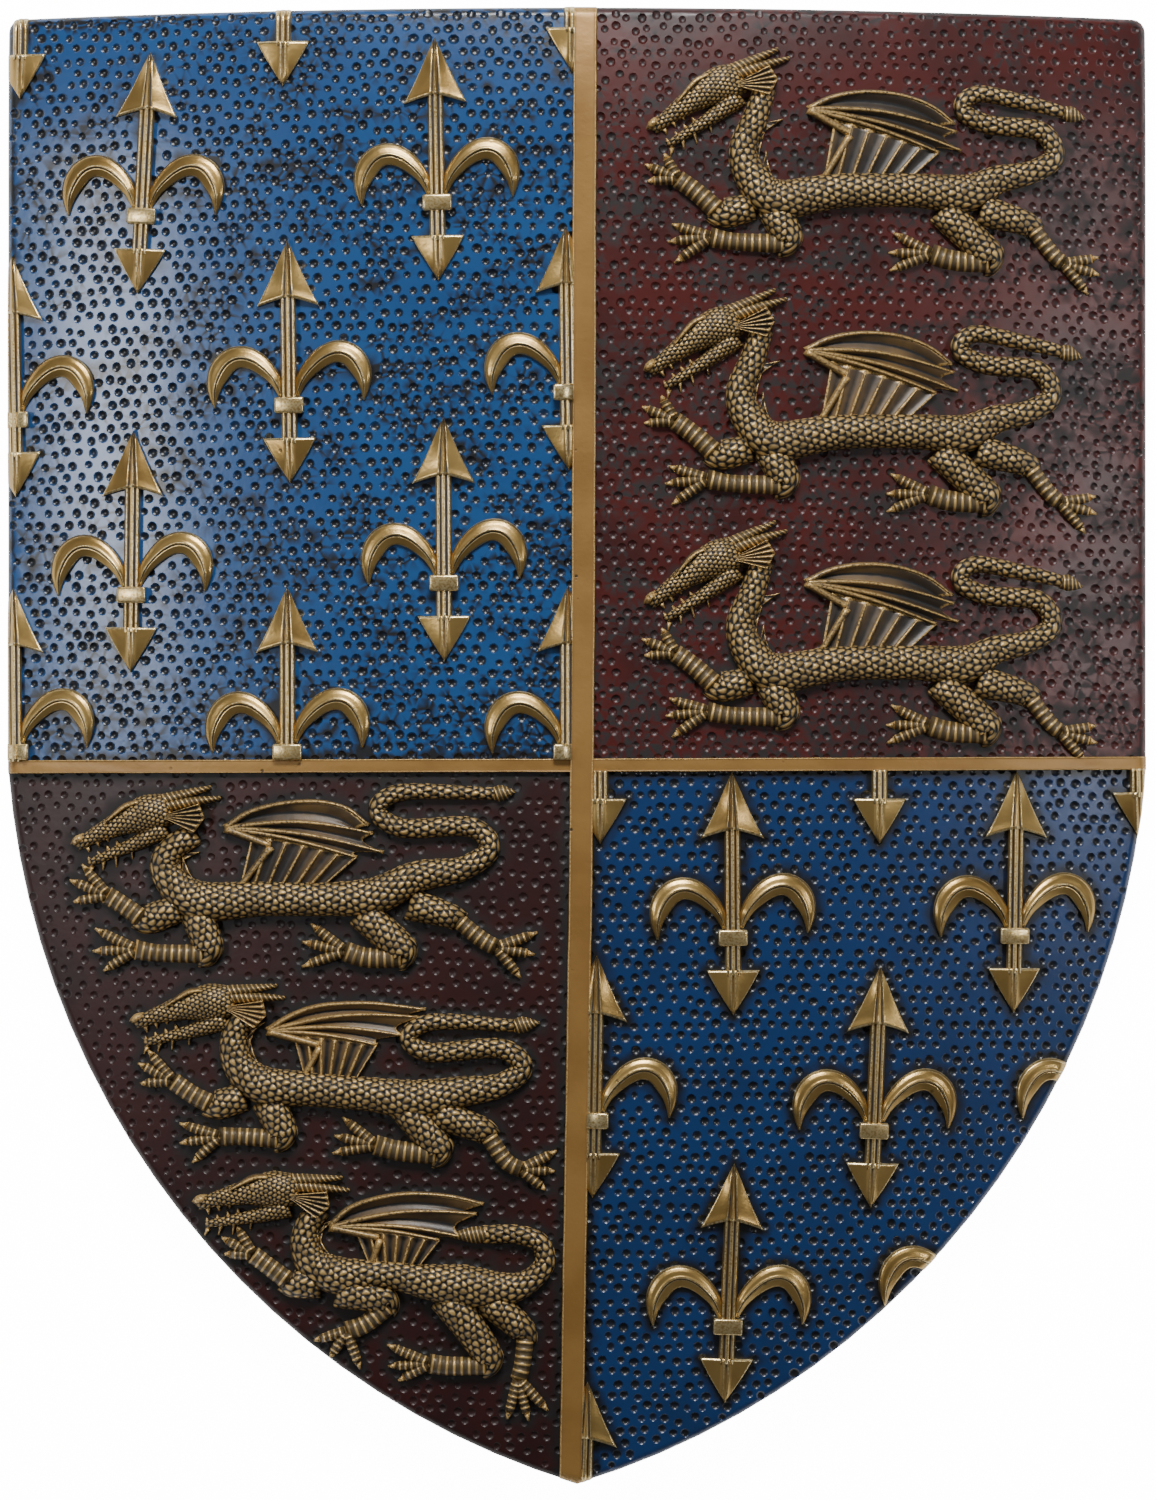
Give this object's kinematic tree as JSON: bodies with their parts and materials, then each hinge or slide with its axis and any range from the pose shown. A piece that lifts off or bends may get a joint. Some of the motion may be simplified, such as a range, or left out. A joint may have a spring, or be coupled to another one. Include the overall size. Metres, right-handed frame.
{
  "type": "heraldic wall shield",
  "caption": "Bowed heater shield cast in one piece, quartered by raised bands, with fleurs-de-lis and walking dragons in relief and a hollow back.",
  "frame": {"origin": "middle of the shield's box in plan, on the surface it lies on: z is 0 at the flat lands of the back rim", "axes": "+Z out of the carved front, +Y from the tip to the top edge, +X to the viewer's right when the front is seen with its top edge up"},
  "size_m": [0.356, 0.457, 0.0502],
  "materials": {
    "painted_resin": "cast resin, painted blue and oxblood, gilded and dark washed, satin"
  },
  "bodies": {
    "root": {"shield": "painted_resin"}
  },
  "joints": []
}
